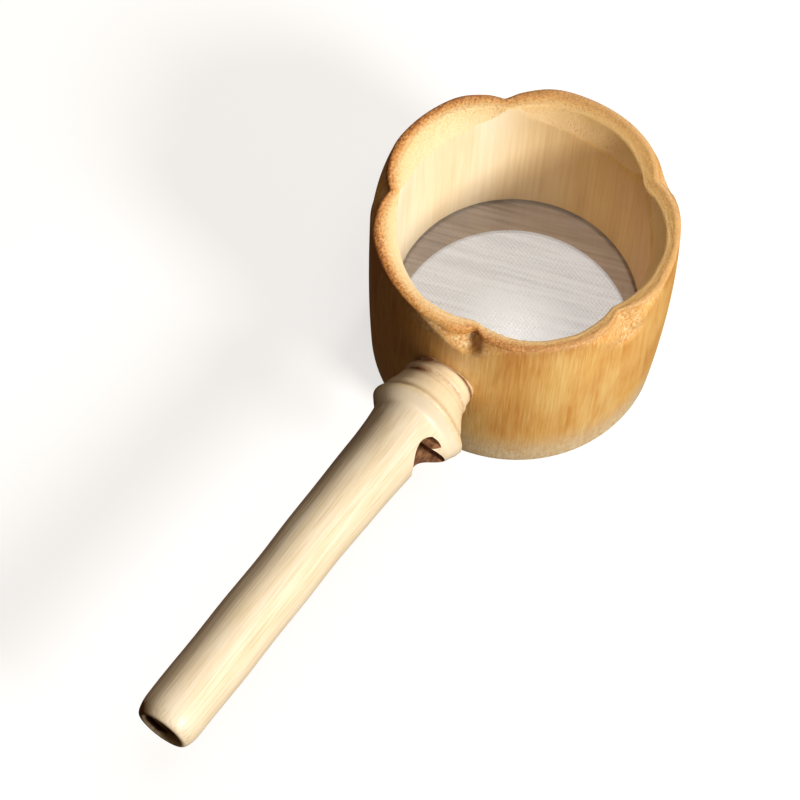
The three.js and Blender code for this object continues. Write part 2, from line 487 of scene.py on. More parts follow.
@dataclass(frozen=True)
class CulmSkin(Finish):
    """Scraped and oiled bamboo skin: fine upright fibres give amber streaks and a satin gloss."""

    place: Place
    name: str = "oiled_bamboo_skin"
    fibre: float = 0.35
    patch: float = 9.0
    dark: str = "#df9f4e"
    middle: str = "#f1bd6c"
    light: str = "#f9d68d"
    orange: str = "#d48c40"
    foot: str = "#efdab2"
    foot_fleck: str = "#dcb986"
    scar: str = "#ecd0a0"
    scar_grain: str = "#dca967"
    scar_pore: str = "#b57f49"
    painted_notch_shade: str = "#935d34"
    toast: str = "#c07432"

    def dress(self, tree: bpy.types.NodeTree, shader: bpy.types.Node) -> None:
        """Links streaks, foot band, carving marks, painted notch shade, gloss and relief."""
        upright = self.place.upright(tree, 0.035)
        even = self.place.upright(tree, 1.0)
        streak = noise(tree, upright, 1 / self.fibre, 4.0)
        broad = noise(tree, self.place.upright(tree, 0.25), 1 / self.patch, 2.0)
        tone = weighted(tree, streak, broad, 0.55)
        colour = ramp(tree, tone, ((0.3, self.dark), (0.5, self.middle), (0.72, self.light)))
        speck = noise(tree, even, 1.4, 4.0)
        warm = noise(tree, self.place.upright(tree, 0.45), 0.13, 3.0)
        wide = noise(tree, self.place.upright(tree, 0.06), 0.8, 3.0)
        warmth = math_of(tree, "MULTIPLY", level(tree, warm, 0.38, 0.66), level(tree, wide, 0.3, 0.6))
        colour = blend_colours(tree, math_of(tree, "MULTIPLY", warmth, 0.85), colour, self.orange)
        fleck = noise(tree, self.place.upright(tree, 0.4), 1.5, 3.0)
        ground = blend_colours(tree, level(tree, fleck, 0.36, 0.72), self.foot, self.foot_fleck)
        colour = laid_over(tree, colour, "foot", level(tree, speck, 0.0, 0.6), ground)
        grain = noise(tree, even, 1.9, 4.0)
        cut = ramp(tree, grain, ((0.34, self.scar_pore), (0.47, self.scar_grain), (0.62, self.scar)))
        colour = laid_over(tree, colour, "carved", level(tree, streak, 0.15, 0.5), cut)
        # Painted shade: brown on the front notch's right facet, which faces away from the key light.
        colour = laid_over(tree, colour, "painted_notch_shade", level(tree, speck, 0.3, 0.6), self.painted_notch_shade)
        colour = laid_over(tree, colour, "toast", level(tree, tone, 0.62, 0.38), self.toast)
        tree.links.new(colour, shader.inputs["Base Color"])
        rough = math_of(tree, "MULTIPLY_ADD", speck, 0.25, 0.3)
        tree.links.new(rough, shader.inputs["Roughness"])
        shader.inputs["Coat Weight"].default_value = 0.15
        shader.inputs["Coat Roughness"].default_value = 0.3
        self.relief(tree, shader, streak, 0.05)


@dataclass(frozen=True)
class CutRim(Finish):
    """Bamboo cut across its fibres and sanded: toasted outside, cream inside, dotted with pores."""

    place: Place
    name: str = "sanded_bamboo_end_grain"
    spacing: float = 0.4
    cream: str = "#eed4a6"
    straw: str = "#e6c48a"
    tan: str = "#dda862"
    toast: str = "#c47f3a"
    char: str = "#97592a"
    painted_shade: str = "#d9ac68"
    pore: str = "#b4854c"

    def dress(self, tree: bpy.types.NodeTree, shader: bpy.types.Node) -> None:
        """Links the toasted edge, the painted shade, the pores, the matt finish and the relief."""
        columns = self.place.upright(tree, 0.3)
        even = self.place.upright(tree, 1.0)
        grain = noise(tree, even, 2.1, 4.0)
        broad = noise(tree, even, 0.16, 2.0)
        dots = pores(tree, columns, self.spacing, 0.4)
        spread = math_of(tree, "MULTIPLY_ADD", grain, 1.5, -0.75)
        toast = mark(tree, "toast")
        contrast = math_of(tree, "MULTIPLY_ADD", toast, 0.7, 0.42)
        heat = math_of(tree, "MULTIPLY_ADD", spread, contrast, toast)
        light = ((0.0, self.cream), (0.22, self.straw), (0.5, self.tan))
        colour = ramp(tree, heat, (*light, (0.8, self.toast), (1.0, self.char)))
        # Painted shade: amber over the rim and bevel on the side that faces away from the key light.
        colour = laid_over(tree, colour, "painted_shade", 0.7, self.painted_shade)
        patchy = math_of(tree, "MULTIPLY", dots, level(tree, broad, 0.3, 0.62))
        shade = math_of(tree, "MULTIPLY", patchy, mark(tree, "pored"))
        colour = blend_colours(tree, shade, colour, self.pore)
        tree.links.new(colour, shader.inputs["Base Color"])
        shader.inputs["Roughness"].default_value = 0.55
        height = math_of(tree, "MULTIPLY_ADD", patchy, -0.5, math_of(tree, "MULTIPLY", grain, 0.5))
        self.relief(tree, shader, height, 0.09)


@dataclass(frozen=True)
class BoreWall(Finish):
    """The culm's inside, turned smooth: soft upright fibres, cream, and painted amber shade."""

    place: Place
    name: str = "turned_bamboo_bore"
    fibre: float = 0.7
    pale: str = "#f5e7c9"
    middle: str = "#efdbb2"
    dark: str = "#e6cb9c"
    painted_shade_pale: str = "#e2b768"
    painted_shade_deep: str = "#cc984a"

    def dress(self, tree: bpy.types.NodeTree, shader: bpy.types.Node) -> None:
        """Links soft streaks, the painted shade, roughness and relief."""
        upright = self.place.upright(tree, 0.03)
        streak = noise(tree, upright, 1 / self.fibre, 3.0)
        broad = noise(tree, self.place.upright(tree, 0.2), 0.09, 2.0)
        tone = weighted(tree, streak, broad, 0.4)
        clean = ramp(tree, tone, ((0.3, self.dark), (0.48, self.middle), (0.64, self.pale)))
        # Painted shade: amber browns on the side of the bore that faces away from the key light.
        painted_shade = ramp(tree, tone, ((0.34, self.painted_shade_deep), (0.6, self.painted_shade_pale)))
        colour = blend_colours(tree, mark(tree, "painted_shade"), clean, painted_shade)
        tree.links.new(colour, shader.inputs["Base Color"])
        shader.inputs["Roughness"].default_value = 0.5
        self.relief(tree, shader, streak, 0.02)


@dataclass(frozen=True)
class BranchSkin(Finish):
    """Peeled bamboo branch: cream with long fibres, tan at the node, burnt at the far end."""

    place: Place
    name: str = "peeled_bamboo_branch"
    fibre: float = 0.4
    cream: str = "#e8d6b8"
    straw: str = "#e0caa4"
    fibre_line: str = "#d0b48b"
    painted_left_shade: str = "#a0703f"
    tan: str = "#c9a75e"
    growth: str = "#b98a60"
    collar: str = "#e2caa0"
    patch: str = "#6f4424"
    burnt: str = "#4e2712"

    def dress(self, tree: bpy.types.NodeTree, shader: bpy.types.Node) -> None:
        """Links fibres, painted left shade, node colours, growth line, burnt end, gloss and relief."""
        along = self.place.lengthways(tree, 0.03)
        even = self.place.upright(tree, 1.0)
        streak = noise(tree, along, 1 / self.fibre, 4.0)
        broad = noise(tree, self.place.lengthways(tree, 0.12), 0.3, 2.0)
        tone = weighted(tree, streak, broad, 0.75)
        plain = math_of(tree, "SUBTRACT", 1.0, mark(tree, "shoulder"))
        tone = math_of(tree, "MULTIPLY_ADD", math_of(tree, "SUBTRACT", tone, 0.54), plain, 0.54)
        colour = ramp(tree, tone, ((0.3, self.fibre_line), (0.44, self.straw), (0.6, self.cream)))
        grain = noise(tree, even, 0.8, 4.0)
        # Painted shade: brown fibre streaks down the left side, which faces away from the key light.
        colour = laid_over(tree, colour, "painted_left_shade", level(tree, streak, 0.7, 0.4), self.painted_left_shade)
        colour = laid_over(tree, colour, "collar", 0.7, self.collar)
        colour = laid_over(tree, colour, "patch", level(tree, grain, 0.0, 0.45), self.patch)
        colour = laid_over(tree, colour, "ridge", level(tree, grain, 0.25, 0.6), self.tan)
        colour = laid_over(tree, colour, "growth", level(tree, grain, 0.3, 0.55), self.growth)
        uneven = math_of(tree, "MULTIPLY_ADD", grain, 0.3, -0.15)
        heat = math_of(tree, "ADD", mark(tree, "burnt"), uneven)
        singed = ramp(tree, heat, ((0.0, self.tan), (0.45, self.patch), (0.85, self.burnt)))
        colour = blend_colours(tree, level(tree, heat, 0.1, 0.4), colour, singed)
        tree.links.new(colour, shader.inputs["Base Color"])
        rough = math_of(tree, "MULTIPLY_ADD", grain, 0.2, 0.32)
        tree.links.new(rough, shader.inputs["Roughness"])
        self.relief(tree, shader, math_of(tree, "MULTIPLY", streak, plain), 0.035)


@dataclass(frozen=True)
class Pith(Finish):
    """The branch's hollow: dry brown pith, rough and dull, with painted light just inside the mouth."""

    place: Place
    name: str = "dry_bamboo_pith"
    dark: str = "#5b3319"
    light: str = "#a9754a"
    painted_mouth_light: str = "#f0d8b4"

    def dress(self, tree: bpy.types.NodeTree, shader: bpy.types.Node) -> None:
        """Links blotches, the painted light by the mouth, roughness and relief."""
        blotch = noise(tree, self.place.lengthways(tree, 0.3), 0.9, 4.0)
        colour = ramp(tree, blotch, ((0.35, self.dark), (0.68, self.light)))
        # Painted light: the burnt mark lightens the pith just inside the mouth, where the key light
        # hardly reaches.
        colour = blend_colours(tree, mark(tree, "burnt"), colour, self.painted_mouth_light)
        tree.links.new(colour, shader.inputs["Base Color"])
        shader.inputs["Roughness"].default_value = 0.8
        self.relief(tree, shader, blotch, 0.15)


@dataclass(frozen=True)
class WireSteel(Finish):
    """Drawn stainless wire: bright grey metal with a soft sheen."""

    place: Place
    name: str = "drawn_stainless_wire"
    light: str = "#d9dbde"
    dull: str = "#b4b4b5"

    def dress(self, tree: bpy.types.NodeTree, shader: bpy.types.Node) -> None:
        """Links a faint change of tone from wire to wire."""
        streak = noise(tree, self.place.lengthways(tree, 0.05), 0.9, 4.0)
        colour = ramp(tree, streak, ((0.35, self.dull), (0.62, self.light)))
        tree.links.new(colour, shader.inputs["Base Color"])
        shader.inputs["Metallic"].default_value = 0.9
        shader.inputs["Roughness"].default_value = 0.5


@dataclass(frozen=True)
class StudioPaper(Finish):
    """Pale studio paper on a light table: matt and nearly white, so shadows on it stay faint."""

    name: str = "studio_paper"
    pale: str = "#a3a19e"
    soft: str = "#9d9b98"
    glow: str = "#fffdfa"
    glow_strength: float = 0.72

    def dress(self, tree: bpy.types.NodeTree, shader: bpy.types.Node) -> None:
        """Links the mottling and the light table's glow."""
        where = add(tree, "ShaderNodeTexCoord").outputs["Object"]
        tone = add(tree, "ShaderNodeTexNoise", None, {"Vector": where, "Scale": 6.0}).outputs["Fac"]
        colour = ramp(tree, tone, ((0.3, self.soft), (0.7, self.pale)))
        tree.links.new(colour, shader.inputs["Base Color"])
        shader.inputs["Roughness"].default_value = 0.9
        shader.inputs["Emission Color"].default_value = srgb(self.glow)
        shader.inputs["Emission Strength"].default_value = self.glow_strength


@dataclass(frozen=True)
class LitPaper(StudioPaper):
    """The same paper over the light table's window: brightest in the middle."""

    axis_x: float = 0.0
    reach: float = 24.0
    name: str = "lit_paper"
    edge: str = "#d6d4d2"
    glow_strength: float = 1.65

    def dress(self, tree: bpy.types.NodeTree, shader: bpy.types.Node) -> None:
        """Links the paper, then a glow that fades towards the window's edge."""
        super().dress(tree, shader)
        where = Place(self.axis_x).upright(tree, 1.0)
        far = add(tree, "ShaderNodeVectorMath", {"operation": "LENGTH"}, {0: where}).outputs["Value"]
        share = math_of(tree, "DIVIDE", far, self.reach)
        glow = ramp(tree, share, ((0.05, self.glow), (0.55, self.edge)))
        tree.links.new(glow, shader.inputs["Emission Color"])


# ---- the cup ---------------------------------------------------------------------------------


class CupZone(Enum):
    """The surfaces of the cup, in the order of its material slots."""

    SKIN = 0
    CUT = 1
    BORE = 2


@dataclass(frozen=True)
class Notch:
    """One notch of the rim: where it is, how it was carved, and the gouge cut below it."""

    angle: float
    outer: float
    inner: float
    run_out: float
    gouge_depth: float
    gouge_left: float
    gouge_right: float
    gouge_bottom: float


@dataclass(frozen=True)
class Petal:
    """The stretch of rim between two notches: its inner crown and the depth of its bevel."""

    crown: float
    bevel_depth: float


@dataclass(frozen=True)
class Spot:
    """A soft spot of bare wood: turn from the front notch, spread, height, height spread, strength."""

    turn: float
    spread: float
    height: float
    height_spread: float
    strength: float


@dataclass(frozen=True)
class Scrape:
    """Bare wood up to the rim: the notch's number, the turn from it, the spread, the heights at
    which it starts and is full, and the strength.
    """

    notch: int
    turn: float
    spread: float
    start: float
    full: float
    strength: float


@dataclass
class Cup:
    """The culm cup with its petal rim."""

    axis_x: float
    height: float
    belt_radius: float
    base_radius: float = 28.8
    belt_height: float = 32.0
    rim_radius: float = 29.6
    bore_radius: float = 24.6
    recess_radius: float = 26.2
    seat_height: float = 12.42
    foot_round: float = 0.8
    rim_round: float = 0.75
    rim_ease: float = 1.2
    inner_round: float = 0.35
    rim_drop: float = 1.5
    front_drop: float = 1.5
    front_turn: float = -5.0
    front_spread: float = 6.5
    mouth_swell: float = 0.55
    mouth_angle: float = 142.0
    bevel_end: float = 32.0
    wall_split: float = 26.0
    wall_step: float = 0.8
    edge_share: float = 0.45
    front_share: float = 0.2
    front_ease: float = 0.6
    chamfer: float = 0.15
    upper_rows: int = 74
    bevel_rows: int = 56
    bore_rows: int = 14
    recess_rows: int = 8
    rim_shift: float = 0.5
    rim_shift_angle: float = 300.0
    # Painted shade: the cut faces and the bore turn amber round this angle, away from the key light.
    painted_shade_angle: float = 125.0
    columns: int = 400
    spots: tuple[Spot, ...] = (Spot(7.5, 1.8, 44.6, 1.1, 0.8), Spot(-12.5, 2.2, 43.5, 1.8, 0.55))
    scrapes: tuple[Scrape, ...] = (
        Scrape(1, -1.0, 8.5, 37.5, 44.0, 0.75),
        Scrape(0, -17.0, 15.0, 41.2, 44.6, 0.95),
    )
    notches: tuple[Notch, ...] = (
        Notch(11, 26.5, 24.7, 8.0, 1.25, 10.0, 4.0, 42.6),
        Notch(74, 26.6, 25.2, 11.0, 0.7, 8.0, 9.0, 39.5),
        Notch(142, 27.0, 23.9, 8.0, 0.6, 6.0, 9.0, 42.0),
        Notch(221, 26.2, 24.5, 7.0, 0.4, 6.0, 5.0, 43.5),
        Notch(292, 26.2, 24.7, 8.0, 0.5, 6.0, 5.0, 43.0),
    )
    petals: tuple[Petal, ...] = (
        Petal(27.5, 10.0),
        Petal(27.2, 11.0),
        Petal(26.4, 12.5),
        Petal(27.3, 9.0),
        Petal(27.3, 9.5),
    )

    def wall(self, heights: np.ndarray) -> np.ndarray:
        """Gives the barrel's outer radius at each height."""
        lower = self.belt_radius - self.base_radius
        upper = self.belt_radius - self.rim_radius
        up = (heights - self.belt_height) / (self.height - self.belt_height)
        down = (self.belt_height - heights) / self.belt_height
        return self.belt_radius - np.where(heights < self.belt_height, lower * down**2, upper * up**2)

    def around(self) -> np.ndarray:
        """Gives the angles of the mesh's columns in degrees."""
        return np.arange(self.columns) * 360.0 / self.columns

    def petal_shape(self) -> dict[str, np.ndarray]:
        """Works out how the rim is carved at each column.

        Returns:
            Arrays for each column: outer and inner rim radius, bevel depth, the notch's reach down
            the wall, and place in the petal from -1 to 1.
        """
        angles = self.around()
        out = {key: np.zeros(self.columns) for key in ("outer", "inner", "depth", "reach", "place")}
        for i, petal in enumerate(self.petals):
            start, end = self.notches[i], self.notches[(i + 1) % len(self.notches)]
            half = ((end.angle - start.angle) % 360.0) / 2
            place = turn_between(angles, start.angle + half) / half
            inside = np.abs(place) <= 1.0
            share = (place + 1) / 2
            crown_share = 1 - np.abs(place) ** 2.0
            notch_outer = start.outer + (end.outer - start.outer) * share
            notch_inner = start.inner + (end.inner - start.inner) * share
            values = {
                "outer": notch_outer + (self.rim_radius + 0.25 - notch_outer) * crown_share,
                "inner": notch_inner + (petal.crown - notch_inner) * (1 - np.abs(place) ** 2.2),
                "depth": np.full(self.columns, petal.bevel_depth),
                "reach": start.run_out + (end.run_out - start.run_out) * share,
                "place": place,
            }
            for key, value in values.items():
                out[key] = np.where(inside, value, out[key])
        out["outer"] += 0.06 * wander(angles, 3, (7, 11, 16, 23))
        out["inner"] += 0.08 * wander(angles, 4, (6, 13, 19, 27))
        return out

    def ring(self, radius: np.ndarray | float, height: np.ndarray | float) -> np.ndarray:
        """Places a row of points at a radius and height for each column."""
        angles = np.radians(self.around())
        radius = np.broadcast_to(radius, (self.columns,))
        height = np.broadcast_to(height, (self.columns,)).astype(float)
        lean = self.rim_shift * np.clip(height / self.height, 0, None) ** 4
        turn = math.radians(self.rim_shift_angle)
        x = self.axis_x + radius * np.cos(angles) + lean * math.cos(turn)
        y = radius * np.sin(angles) + lean * math.sin(turn)
        return np.stack([x, y, height], axis=-1)

    def face_height(self, radius: np.ndarray) -> np.ndarray:
        """Gives the height of the sloping rim face at a radius."""
        slope = self.rim_drop / (self.rim_radius - self.bore_radius)
        lift = 0.12 * wander(self.around(), 5, (3, 5, 8))
        return self.height - 0.12 + np.minimum(lift, 0.12) - slope * (self.rim_radius - radius)

    def outer_radius(self, shape: dict[str, np.ndarray], heights: np.ndarray) -> np.ndarray:
        """Gives the outer radius at a row of heights, with the notches run out below the rim."""
        flare = (self.belt_radius - self.notches[0].outer) / shape["reach"]
        below = self.height - heights
        lobe = shape["outer"] + below * flare + 0.02 * below**2
        barrel = self.wall(heights) - 0.04 + 0.04 * wander(self.around(), 9, (2, 3, 5, 9))
        return soft_min(barrel, lobe, 0.35) - self.gouged(heights)

    def gouged(self, heights: np.ndarray) -> np.ndarray:
        """Gives how deep the gouge below each notch cuts at a row of heights."""
        total = np.zeros(self.columns)
        for notch in self.notches:
            turn = turn_between(self.around(), notch.angle + 1.5)
            reach = np.where(turn < 0, notch.gouge_left, notch.gouge_right)
            valley = np.clip(1 - np.abs(turn) / reach, 0, 1)
            rise = ease(heights, notch.gouge_bottom - 0.8 * valley, notch.gouge_bottom + 2.0)
            total += notch.gouge_depth * valley * rise * (1 - 0.45 * ease(heights, 45.4, self.height))
        return total

    def inner_radius(self, shape: dict[str, np.ndarray], heights: np.ndarray) -> np.ndarray:
        """Gives the inner radius at a row of heights: the bevel, then the bore."""
        below = np.clip(self.height - heights, 0, None)
        crown = shape["inner"] - shape["inner"].min() + 0.6
        slope = np.maximum(crown, 0.6) / shape["depth"]
        bevel = shape["inner"] - np.maximum(slope, 0.16) * below
        thick = bump(turn_between(self.around(), self.mouth_angle), 0, 40)
        bore = self.bore_radius - self.mouth_swell * ease(heights, 25, 47) * thick
        return soft_max(bore, bevel, 0.12)

    def build(self) -> bpy.types.Object:
        """Makes the cup's mesh: foot, outer wall, rim face, bevel, bore, shoulder and recess."""
        shape = self.petal_shape()
        # Painted shade for the rim and the bore, strongest on the side away from the key light.
        painted_shade = 0.5 + 0.5 * np.cos(np.radians(turn_between(self.around(), self.painted_shade_angle)))
        marks = dict.fromkeys(("foot", "carved", "painted_notch_shade", "toast", "pored"), 0.0)
        skin = Skin(plain={**marks, "painted_shade": ease(painted_shade, 0.22, 0.95)})
        self.add_foot(skin)
        rim_outer = self.outer_radius(shape, np.full(self.columns, self.height))
        rim_inner = self.inner_radius(shape, np.full(self.columns, self.height))
        front = turn_between(self.around(), self.notches[0].angle + self.front_turn)
        soft = bump(front, 0, self.front_spread)
        top = self.face_height(rim_outer) - self.rim_round - self.front_drop * soft
        for height in np.arange(self.foot_round, self.wall_split, self.wall_step):
            self.add_wall_row(skin, shape, np.full(self.columns, height), top)
        for share in np.linspace(0, 1, self.upper_rows):
            heights = self.wall_split + (top - self.wall_split) * share
            self.add_wall_row(skin, shape, heights, top)
        room = (self.edge_share + self.front_share * soft) * (rim_outer - rim_inner)
        shape["top"] = top
        shape["edge"] = np.minimum(self.rim_ease + self.front_ease * soft, room)
        shape["rim_inner"] = rim_inner
        self.add_rim(skin, shape)
        self.add_inside(skin, shape)
        cup = skin.to_object("bamboo_cup", ring=True)
        self.split_bevel(cup, shape)
        return cup

    def add_foot(self, skin: Skin) -> None:
        """Adds the flat foot and its rounded outer edge."""
        for radius in (self.recess_radius + self.chamfer, self.base_radius - self.foot_round):
            self.add_ring(skin, radius, 0.0, CupZone.CUT, toast=0.5)
        for step in (0.3, 0.6, 0.85):
            turn = step * math.pi / 2
            radius = self.base_radius - self.foot_round * (1 - math.sin(turn))
            height = self.foot_round * (1 - math.cos(turn))
            self.add_ring(skin, radius, height, CupZone.SKIN, foot=1.0)

    def add_ring(self, skin: Skin, radius: Any, height: Any, zone: CupZone, **marks: Any) -> None:
        """Adds a row at a radius and height, each one number or an array, with its zone and marks."""
        skin.add(self.ring(radius, height), zone.value, **marks)

    def add_rim(self, skin: Skin, shape: dict[str, np.ndarray]) -> None:
        """Adds the rounded outer edge, the sloping face and the rounded inner edge of the rim."""
        angles = self.around()
        front = turn_between(angles, self.notches[0].angle + self.front_turn)
        cooler = 1 - 0.35 * bump(front, -10.0, 16.0)
        top, edge, rim_inner = shape["top"], shape["edge"], shape["rim_inner"]
        outer_edge = self.outer_radius(shape, top)
        start, end = outer_edge - edge, rim_inner + self.inner_round
        for step in np.linspace(0, 1, 7)[1:]:
            turn = step * math.pi / 2
            radius = outer_edge - edge * (1 - math.cos(turn))
            height = top + (self.face_height(start) - top) * math.sin(turn)
            toast = (0.95 - 0.1 * step) * cooler
            self.add_ring(skin, radius, height, CupZone.CUT, toast=toast, pored=0.6)
        for share in np.linspace(0.12, 1.0, 8):
            radius = start + (end - start) * share
            rough = 0.04 * wander(angles, 20 + int(share * 8), (17, 29, 41, 60))
            height = self.face_height(radius) + rough
            toast = (0.85 - 0.5 * share**1.3) * cooler
            self.add_ring(skin, radius, height, CupZone.CUT, toast=toast, pored=0.85)
        inner_top = self.face_height(rim_inner) - self.inner_round
        for step in (0.25, 0.5, 0.75, 1.0):
            turn = step * math.pi / 2
            height = inner_top + (self.face_height(end) - inner_top) * math.cos(turn)
            radius = end + (self.inner_radius(shape, height) - end) * math.sin(turn)
            toast = 0.35 - 0.15 * step
            self.add_ring(skin, radius, height, CupZone.CUT, toast=toast, pored=0.6)

    def add_inside(self, skin: Skin, shape: dict[str, np.ndarray]) -> None:
        """Adds the bevel, the bore, the mesh's shoulder and the recess below it."""
        inner_top = self.face_height(shape["rim_inner"]) - self.inner_round
        deep = bump(turn_between(self.around(), 181.0), 0, 34)
        for share in np.linspace(0, 1, self.bevel_rows)[1:]:
            height = inner_top + (self.bevel_end - inner_top) * share
            radius = self.inner_radius(shape, height)
            toast = 0.2 * math.exp(-share * 7)
            pored = 0.12 + 0.35 * deep * (1 - ease(share, 0.4, 0.7))
            self.add_ring(skin, radius, height, CupZone.CUT, toast=toast, pored=pored)
        bore = CupZone.BORE
        for height in np.linspace(self.bevel_end, self.seat_height + self.chamfer, self.bore_rows)[1:]:
            radius = self.inner_radius(shape, np.full(self.columns, height))
            self.add_ring(skin, radius, height, bore)
        self.add_ring(skin, self.bore_radius + self.chamfer, self.seat_height, bore)
        self.add_ring(skin, self.recess_radius, self.seat_height, bore)
        for height in np.linspace(self.seat_height, self.chamfer, self.recess_rows)[1:]:
            self.add_ring(skin, self.recess_radius, height, bore)

    def add_wall_row(
        self, skin: Skin, shape: dict[str, np.ndarray], heights: np.ndarray, top: np.ndarray
    ) -> None:
        """Adds one row of the outer wall with the marks that colour it.

        Args:
            skin: The rows so far.
            shape: How the rim is carved.
            heights: The row's height at each column.
            top: The height at which the rim's rounding starts.
        """
        front = turn_between(self.around(), self.notches[0].angle)
        gouge = self.gouged(heights)
        carved = np.clip(gouge / 0.35, 0, 1) * np.where(np.abs(front) < 15, front < 1.5, 0.8)
        for spot in self.spots:
            here = bump(front, spot.turn, spot.spread) * bump(heights, spot.height, spot.height_spread)
            carved = np.maximum(carved, spot.strength * here)
        for scrape in self.scrapes:
            turn = turn_between(self.around(), self.notches[scrape.notch].angle)
            here = bump(turn, scrape.turn, scrape.spread) * ease(heights, scrape.start, scrape.full)
            carved = np.maximum(carved, scrape.strength * here)
        carved = np.maximum(carved, 0.6 * ease(heights - top, -1.6, 0.2))
        # Painted shade on the front notch's right facet, which faces away from the key light.
        painted_notch_shade = bump(front, 3.4, 3.0) * ease(heights, 41.8, 43.5) * (1 - ease(heights, 45.5, 46.8))
        skin.add(
            self.ring(self.outer_radius(shape, heights), heights),
            CupZone.SKIN.value,
            foot=1 - ease(heights, 2.0, 14.0),
            carved=carved,
            painted_notch_shade=0.8 * painted_notch_shade,
            toast=np.exp((heights - top) / 2.6) * (1 - 0.8 * carved),
            painted_shade=0.0,
        )

    def split_bevel(self, cup: bpy.types.Object, shape: dict[str, np.ndarray]) -> None:
        """Gives the faces below the bevel's lower edge the bore's finish."""
        mesh = cup.data
        centres = np.empty(len(mesh.polygons) * 3)
        mesh.polygons.foreach_get("center", centres)
        centres = centres.reshape(-1, 3) / MM
        materials = np.empty(len(mesh.polygons), dtype=np.int32)
        mesh.polygons.foreach_get("material_index", materials)
        angle = np.degrees(np.arctan2(centres[:, 1], centres[:, 0] - self.axis_x)) % 360.0
        column = np.round(angle / 360.0 * self.columns).astype(int) % self.columns
        heights = centres[:, 2]
        below = np.clip(self.height - heights, 0, None)
        crown = shape["inner"] - shape["inner"].min() + 0.6
        slope = np.maximum(np.maximum(crown, 0.6) / shape["depth"], 0.16)
        bevel = shape["inner"][column] - slope[column] * below
        in_bore = (materials == CupZone.CUT.value) & (bevel < self.bore_radius) & (heights < 46.2)
        in_bore &= np.hypot(centres[:, 0] - self.axis_x, centres[:, 1]) < 26.5
        in_bore &= heights > self.seat_height
        materials[in_bore] = CupZone.BORE.value
        mesh.polygons.foreach_set("material_index", materials)

    def dress(self, cup: bpy.types.Object, place: Place) -> None:
        """Gives the cup its finishes, in the order of its zones."""
        for finish in (CulmSkin(place), CutRim(place), BoreWall(place)):
            cup.data.materials.append(finish.build())


# ---- the handle ------------------------------------------------------------------------------


class BranchZone(Enum):
    """The surfaces of the handle, in the order of its material slots."""

    SKIN = 0
    PITH = 1


@dataclass(frozen=True)
class Ripple:
    """A low ring or a sideways bow of the branch: its height, its place and its width."""

    height: float
    place: float
    width: float

    def rise(self, distance: np.ndarray) -> np.ndarray:
        """Gives how far it lifts the surface at a distance from its landmark."""
        return self.height * bump(distance, self.place, self.width)


